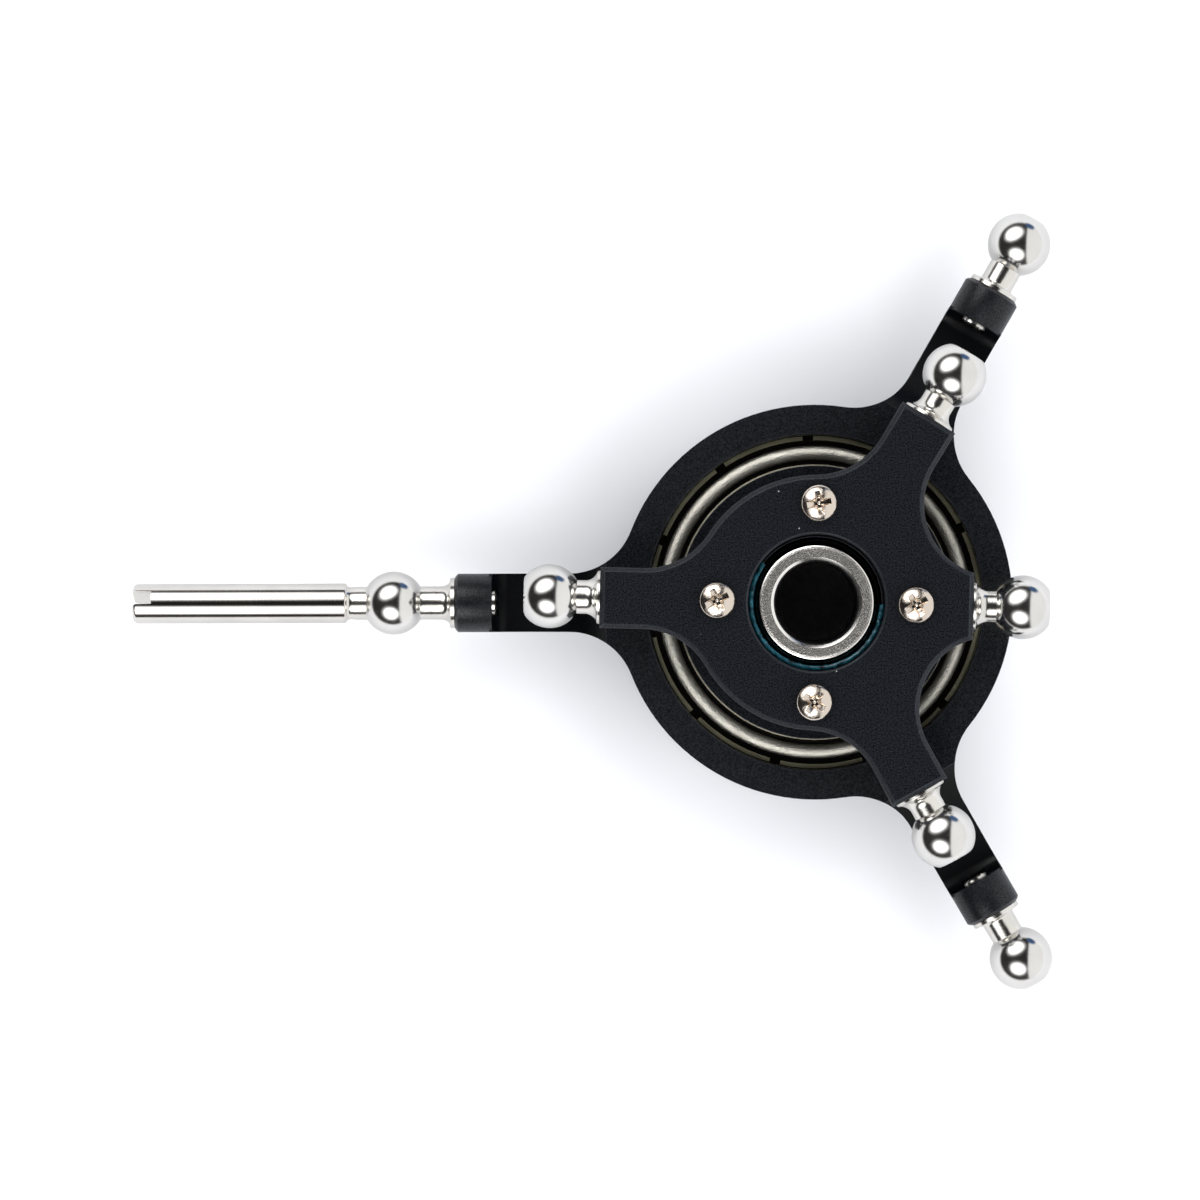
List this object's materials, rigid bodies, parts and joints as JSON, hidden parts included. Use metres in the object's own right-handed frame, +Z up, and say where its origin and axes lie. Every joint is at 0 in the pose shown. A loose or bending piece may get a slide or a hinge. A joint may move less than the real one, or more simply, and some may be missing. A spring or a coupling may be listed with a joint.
{
  "type": "helicopter swashplate",
  "caption": "Swashplate of a model helicopter: fixed ring with arms and an anti-rotation pin, rotating star with ball studs, thin bearing between them and a tilting ball for the mast.",
  "frame": {"origin": "centre of the mast ball", "axes": "+Z up along the mast, the anti-rotation pin points along -X, the two servo balls are at 60 degrees either side of +X"},
  "size_m": [0.069, 0.0584, 0.0132],
  "materials": {
    "black_ring": "matte black anodised, machined",
    "black_star": "matte black anodised, machined",
    "black_hub": "matte black anodised, machined",
    "stud_steel": "polished, nickel plated",
    "screw_steel": "nickel plated",
    "race_steel": "ground bearing steel",
    "shield_steel": "satin, turned",
    "ball_steel": "polished bearing steel",
    "cage_brass": "pressed",
    "clip_steel": "phosphated spring steel",
    "seat_plastic": "black acetal",
    "mast_ball_steel": "ground and polished"
  },
  "bodies": {
    "fixed_swash": {"outer_ring": "black_ring", "bearing_outer_race": "race_steel", "bearing_shield_upper": "shield_steel", "bearing_shield_lower": "shield_steel", "bearing_retaining_ring": "clip_steel", "servo_ball_stud_a": "stud_steel", "servo_ball_stud_b": "stud_steel", "anti_rotation_pin": "stud_steel"},
    "ball_train": {"bearing_cage": "cage_brass", "bearing_balls": "ball_steel"},
    "rotating_swash": {"rotor_star": "black_star", "lower_clamp_hub": "black_hub", "bearing_inner_race": "race_steel", "clamp_screws": "screw_steel", "rotor_ball_stud_a": "stud_steel", "rotor_ball_stud_b": "stud_steel", "rotor_ball_stud_c": "stud_steel", "rotor_ball_stud_d": "stud_steel"},
    "ball_seats": {"ball_seat_upper": "seat_plastic", "ball_seat_lower": "seat_plastic"},
    "mast_pivot": {"mast_ball": "mast_ball_steel"}
  },
  "joints": [
    {"name": "rotor_spin", "type": "hinge", "parent": "fixed_swash", "child": "rotating_swash", "pos_m": [0, 0, 0], "axis": [0, 0, 1], "continuous": true},
    {"name": "cage_spin", "type": "hinge", "parent": "fixed_swash", "child": "ball_train", "pos_m": [0, 0, 0], "axis": [0, 0, 1], "continuous": true},
    {"name": "tilt_heading", "type": "hinge", "parent": "rotating_swash", "child": "ball_seats", "pos_m": [0, 0, 0], "axis": [0, 0, 1], "continuous": true},
    {"name": "mast_tilt", "type": "hinge", "parent": "ball_seats", "child": "mast_pivot", "pos_m": [0, 0, 0], "axis": [1, 0, 0], "range_deg": [-12, 12]}
  ],
  "couplings": [
    {"joint": "cage_spin", "follows": "rotor_spin", "ratio": 0.45957}
  ]
}
